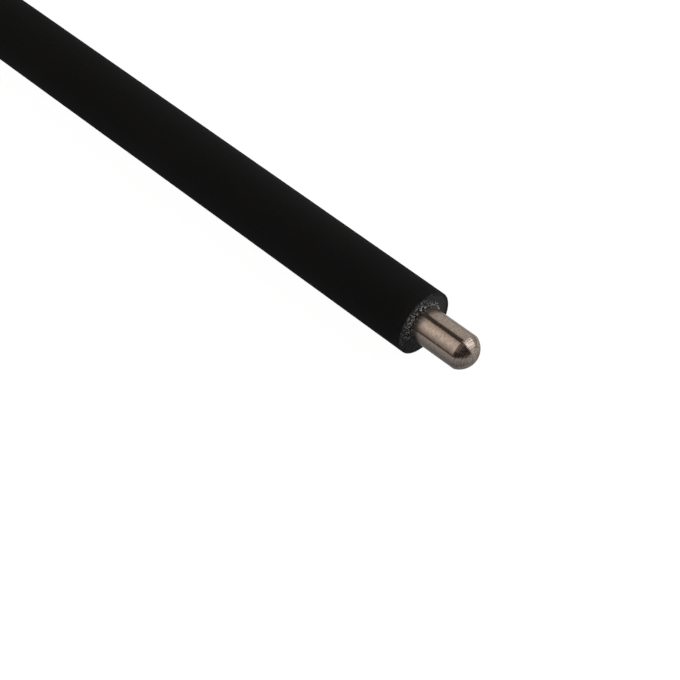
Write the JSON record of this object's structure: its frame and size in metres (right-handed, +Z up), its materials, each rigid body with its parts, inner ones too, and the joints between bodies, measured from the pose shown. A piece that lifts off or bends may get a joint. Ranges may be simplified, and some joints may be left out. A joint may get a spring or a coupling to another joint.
{
  "type": "rubber-covered roller",
  "caption": "Straight steel rod with domed bare ends, glued inside a full-length black foam sleeve with a smooth rubber skin; it rolls on the sleeve or turns on its bare journals.",
  "frame": {"origin": "the middle of the rod's axis, halfway between its two domed ends", "axes": "+X along the rod's axis, towards the end that the picture shows; +Z up, square to the axis"},
  "size_m": [0.34, 0.0144, 0.0144],
  "materials": {
    "nickelled_steel": "polished",
    "adhesive": "satin",
    "black_foam": "matte",
    "black_skin": "matte"
  },
  "bodies": {
    "root": {"core_rod": "nickelled_steel", "adhesive_film": "adhesive", "foam_sleeve": "black_foam", "outer_skin": "black_skin"}
  },
  "joints": []
}
